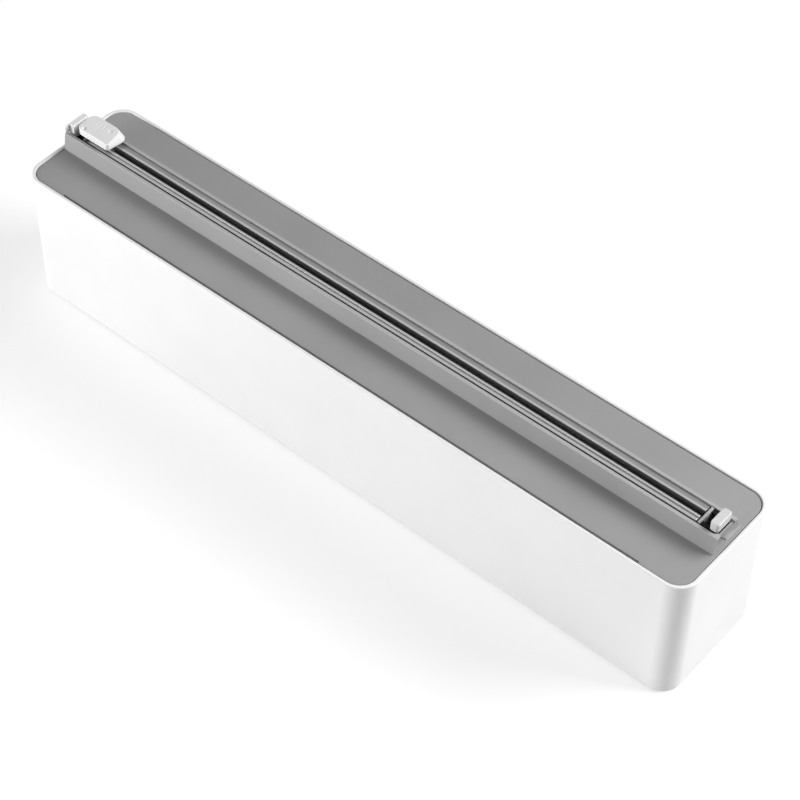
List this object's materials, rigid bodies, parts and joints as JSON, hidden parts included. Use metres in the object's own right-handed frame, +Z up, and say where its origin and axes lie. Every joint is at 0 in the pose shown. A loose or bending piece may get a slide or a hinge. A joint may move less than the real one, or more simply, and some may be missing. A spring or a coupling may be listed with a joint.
{
  "type": "cling film cutter",
  "caption": "Box for one roll of cling film with a lift-off lid, a hinged bar that clamps the film, and a slider that draws a blade along it.",
  "frame": {"origin": "middle of the footprint, on the surface that the feet stand on", "axes": "+X along the box towards the latch, +Y to the back, +Z up"},
  "size_m": [0.34, 0.059, 0.0778],
  "materials": {
    "white_shell": "satin moulded plastic",
    "white_trim": "smooth moulded plastic",
    "grey_lid": "fine grained moulded plastic",
    "strip_metal": "satin drawn strip",
    "nylon": "natural nylon",
    "black_nylon": "matt black nylon",
    "soft_pad": "matt soft rubber",
    "foot_pad": "matt soft rubber",
    "steel": "bright fine steel"
  },
  "bodies": {
    "box": {"box_shell": "white_shell", "feet": "foot_pad", "cradle_left": "nylon", "cradle_right": "nylon"},
    "plug_left": {"plug_left": "nylon"},
    "plug_right": {"plug_right": "nylon"},
    "lid": {"lid_panel": "grey_lid", "rail_channel": "grey_lid", "rail_screws": "steel", "film_pads": "soft_pad", "hinge_pin": "steel", "pull_tab": "grey_lid"},
    "bar": {"strip_front": "strip_metal", "strip_rear": "strip_metal", "left_cap": "grey_lid", "right_cap": "grey_lid", "bar_screws": "steel", "hinge_block": "white_trim", "hinge_bed": "black_nylon", "hinge_block_screw": "steel", "latch_housing": "black_nylon", "housing_screws": "steel", "latch_spring": "steel"},
    "latch": {"latch_bolt": "nylon", "latch_knob": "white_trim"},
    "slider": {"slider_carriage": "nylon", "slider_cap": "white_trim", "blade": "steel", "blade_pins": "steel"}
  },
  "joints": [
    {"name": "plug_left_turn", "type": "hinge", "parent": "box", "child": "plug_left", "pos_m": [-0.164, 0, 0.029], "axis": [1, 0, 0], "continuous": true},
    {"name": "plug_right_turn", "type": "hinge", "parent": "box", "child": "plug_right", "pos_m": [0.164, 0, 0.029], "axis": [1, 0, 0], "continuous": true},
    {"name": "lid_lift", "type": "slide", "parent": "box", "child": "lid", "axis": [0, 0, 1], "range_m": [0, 0.08]},
    {"name": "bar_hinge", "type": "hinge", "parent": "lid", "child": "bar", "pos_m": [-0.16615, 0.00115, 0.069], "axis": [0, -1, 0], "range_deg": [0, 80]},
    {"name": "slider_slide", "type": "slide", "parent": "bar", "child": "slider", "axis": [1, 0, 0], "range_m": [0, 0.302]},
    {"name": "latch_slide", "type": "slide", "parent": "bar", "child": "latch", "axis": [-1, 0, 0], "range_m": [0, 0.003], "stiffness_N_per_m": 200, "springref_m": -0.004, "deforming": ["latch_spring"]}
  ]
}
